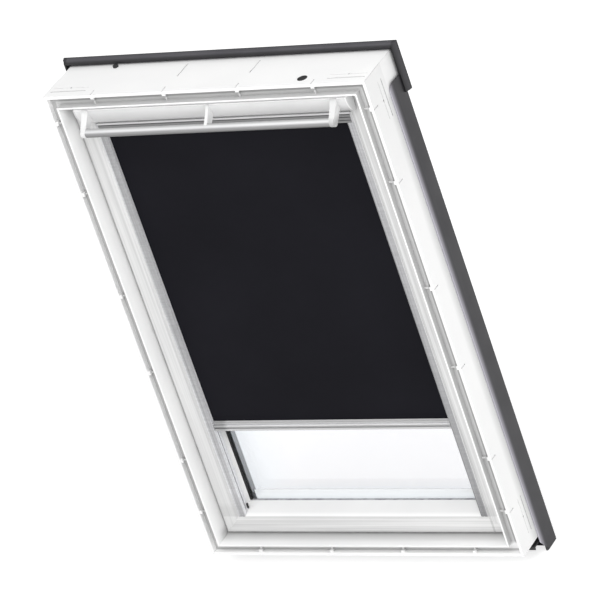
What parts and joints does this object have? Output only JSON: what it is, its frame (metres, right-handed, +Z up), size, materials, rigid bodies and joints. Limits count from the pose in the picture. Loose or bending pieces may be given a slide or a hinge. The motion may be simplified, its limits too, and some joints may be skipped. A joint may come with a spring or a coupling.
{
  "type": "centre-pivot roof window with roller blind",
  "caption": "White centre-pivot roof window with a dark blackout roller blind in side channels, vent flap with control bar, sealed glazing and grey weather covers",
  "frame": {"origin": "middle of the flat bottom face of the frame's sill", "axes": "+X to the right as seen from the room, +Y from the room out to the weather, +Z up the slope of the roof"},
  "size_m": [0.811, 0.1703, 1.2425],
  "materials": {
    "white_frame": "smooth satin white lacquer",
    "white_fitting": "fine satin off-white",
    "black_rubber": "matt black",
    "black_plastic": "matt black",
    "grey_cover": "dark grey coated aluminium sheet",
    "steel": "zinc plated",
    "glass": "clear",
    "silver": "natural anodised, fine brushed",
    "grey_plastic": "light grey satin",
    "blackout_cloth": "tightly woven coated blackout cloth, matt"
  },
  "bodies": {
    "frame": {"frame_head": "white_frame", "frame_sill": "white_frame", "frame_jamb_left": "white_frame", "frame_jamb_right": "white_frame", "cable_plug": "black_rubber", "pivot_bearing_left": "steel", "pivot_bearing_right": "steel", "weather_seal": "black_rubber", "sill_apron_seal": "black_rubber", "side_cover_left": "grey_cover", "side_cover_right": "grey_cover", "side_cover_plug_left": "black_plastic", "side_cover_plug_right": "black_plastic", "head_cover": "grey_cover", "head_cover_screw": "black_plastic", "sill_cover": "grey_cover", "lock_keep": "steel"},
    "sash": {"pivot_pin_left": "steel", "pivot_pin_right": "steel", "sash_stile_left": "white_frame", "sash_stile_right": "white_frame", "sash_top_rail": "white_frame", "sash_bottom_rail": "white_frame", "glazing_gasket_inner": "black_rubber", "glazing_gasket_outer": "black_rubber", "pane_inner": "glass", "pane_outer": "glass", "glass_spacer": "silver", "glazing_profile_left": "grey_cover", "glazing_profile_right": "grey_cover", "glazing_profile_top": "grey_cover", "glazing_profile_bottom": "grey_cover", "flap_hinge_left": "steel", "flap_hinge_right": "steel", "lock_case": "steel", "blind_casing": "silver", "casing_cap_left": "grey_plastic", "casing_cap_right": "grey_plastic", "side_channel_left": "silver", "side_channel_right": "silver", "channel_stop_left": "grey_plastic", "channel_stop_right": "grey_plastic", "channel_clip": "black_plastic"},
    "flap": {"vent_flap": "white_fitting", "flap_cap_left": "white_fitting", "flap_cap_right": "white_fitting", "control_bar": "silver", "bar_bracket_left": "white_fitting", "bar_bracket_middle": "white_fitting", "bar_bracket_right": "white_fitting"},
    "latch": {"lock_latch": "steel"},
    "roller": {"roller_tube": "silver", "roller_plug_left": "grey_plastic", "roller_plug_right": "grey_plastic"},
    "blind": {"blind_cloth": "blackout_cloth", "bottom_bar": "silver", "bar_glider_left": "grey_plastic", "bar_glider_right": "grey_plastic"}
  },
  "joints": [
    {"name": "sash_pivot", "type": "hinge", "parent": "frame", "child": "sash", "pos_m": [0, 0.0513, 0.589], "axis": [1, 0, 0], "range_deg": [0, 160]},
    {"name": "flap_hinge_joint", "type": "hinge", "parent": "sash", "child": "flap", "pos_m": [0, -0.0022, 1.10509], "axis": [1, 0, 0], "range_deg": [0, 16]},
    {"name": "latch_slide", "type": "slide", "parent": "sash", "child": "latch", "axis": [0, 0, -1], "range_m": [0, 0.0085]},
    {"name": "blind_slide", "type": "slide", "parent": "sash", "child": "blind", "axis": [0, 0, 1], "range_m": [-0.216, 0.737], "deforming": ["blind_cloth"]},
    {"name": "roller_turn", "type": "hinge", "parent": "sash", "child": "roller", "pos_m": [0, 0.03, 1.074], "axis": [-1, 0, 0], "range_deg": [-1290, 4400]}
  ],
  "couplings": [
    {"joint": "latch_slide", "follows": "flap_hinge_joint", "m_per_rad": 0.0294},
    {"joint": "roller_turn", "follows": "blind_slide", "rad_per_m": 103.1}
  ]
}
